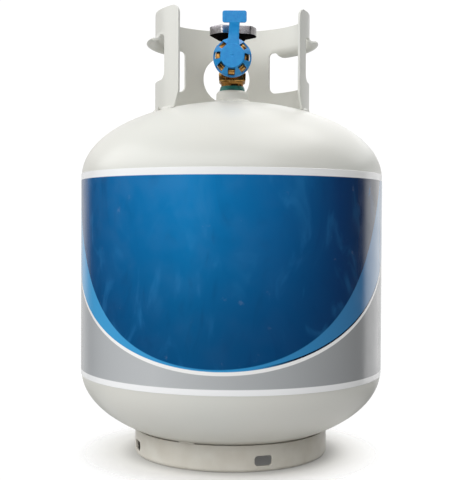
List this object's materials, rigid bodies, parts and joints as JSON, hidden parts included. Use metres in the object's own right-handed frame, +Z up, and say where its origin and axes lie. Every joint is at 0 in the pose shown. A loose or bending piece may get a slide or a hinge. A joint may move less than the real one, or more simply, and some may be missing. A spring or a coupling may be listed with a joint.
{
  "type": "propane tank",
  "caption": "Refillable steel gas cylinder with a wrapped collar and hand holes, foot ring, printed sleeve, handwheel valve with overfill float, and a push-on outlet cap.",
  "frame": {"origin": "centre of the foot ring on the floor", "axes": "+Z up along the cylinder's axis; the valve outlet points along -Y; +X to the right seen from the outlet's side"},
  "size_m": [0.31, 0.31, 0.451],
  "materials": {
    "body_paint": "gloss enamel, off-white",
    "weld_steel": "bare weld bead",
    "sleeve_print": "gloss printed film, blue fields with white and silver bands",
    "sealant": "dried thread sealant, green",
    "valve_brass": "forged and machined brass",
    "stem_brass": "turned brass",
    "wheel_zinc": "tumbled die casting",
    "steel_hardware": "zinc plated",
    "spring_steel": "drawn spring wire",
    "seal_rubber": "nitrile rubber",
    "opd_plastic": "natural acetal",
    "float_plastic": "closed-cell nitrile foam",
    "cap_plastic": "moulded polyethylene, blue"
  },
  "bodies": {
    "cylinder": {"upper_shell": "body_paint", "lower_shell": "body_paint", "girth_weld": "weld_steel", "label_sleeve": "sleeve_print", "foot_ring": "body_paint", "foot_ring_welds": "body_paint", "collar": "body_paint", "collar_welds": "body_paint", "valve_boss": "body_paint", "boss_weld": "body_paint", "thread_sealant": "sealant", "valve_body": "valve_brass", "bonnet": "valve_brass", "stem_seals": "seal_rubber", "outlet_seal": "seal_rubber", "outlet_spring": "spring_steel", "relief_bushing": "valve_brass", "relief_spring": "spring_steel", "dip_tube": "stem_brass", "opd_body": "opd_plastic", "opd_cap": "opd_plastic", "opd_spring": "spring_steel", "float_pin": "steel_hardware"},
    "spindle": {"stem": "stem_brass", "handwheel": "wheel_zinc", "handwheel_screw": "steel_hardware"},
    "plunger": {"plunger": "stem_brass", "seat_disc": "seal_rubber"},
    "outlet_poppet": {"outlet_poppet": "stem_brass"},
    "relief_poppet": {"relief_poppet": "stem_brass"},
    "bleeder_screw": {"bleeder_screw": "stem_brass"},
    "shut_off_piston": {"opd_piston": "float_plastic"},
    "float": {"float_arm": "opd_plastic", "float_bulb": "float_plastic"},
    "dust_cap": {"dust_cap": "cap_plastic"}
  },
  "joints": [
    {"name": "handwheel_turn", "type": "hinge", "parent": "cylinder", "child": "spindle", "pos_m": [0, 0, 0.42], "axis": [0, 0, 1], "range_deg": [0, 540]},
    {"name": "plunger_travel", "type": "slide", "parent": "spindle", "child": "plunger", "axis": [0, 0, 1], "range_m": [0, 0.0024]},
    {"name": "outlet_poppet_travel", "type": "slide", "parent": "cylinder", "child": "outlet_poppet", "axis": [0, 1, 0], "range_m": [0, 0.003], "stiffness_N_per_m": 500, "springref_m": -0.004, "deforming": ["outlet_spring"]},
    {"name": "relief_poppet_travel", "type": "slide", "parent": "cylinder", "child": "relief_poppet", "axis": [0, 1, 0], "range_m": [0, 0.0015], "stiffness_N_per_m": 2000, "springref_m": -0.004, "deforming": ["relief_spring"]},
    {"name": "bleeder_turn", "type": "hinge", "parent": "cylinder", "child": "bleeder_screw", "pos_m": [-0.0086, -0.01, 0.385], "axis": [0, -1, 0], "range_deg": [0, 360]},
    {"name": "shut_off_travel", "type": "slide", "parent": "cylinder", "child": "shut_off_piston", "axis": [0, 0, 1], "range_m": [0, 0.0026], "deforming": ["opd_spring"]},
    {"name": "float_swing", "type": "hinge", "parent": "cylinder", "child": "float", "pos_m": [0, 0, 0.315], "axis": [1, 0, 0], "range_deg": [0, 60]},
    {"name": "cap_pull", "type": "slide", "parent": "cylinder", "child": "dust_cap", "axis": [0, -1, 0], "range_m": [0, 0.1]}
  ],
  "couplings": [
    {"joint": "handwheel_turn", "follows": "plunger_travel", "rad_per_m": 3927},
    {"joint": "shut_off_travel", "follows": "float_swing", "m_per_rad": 0.00248}
  ]
}
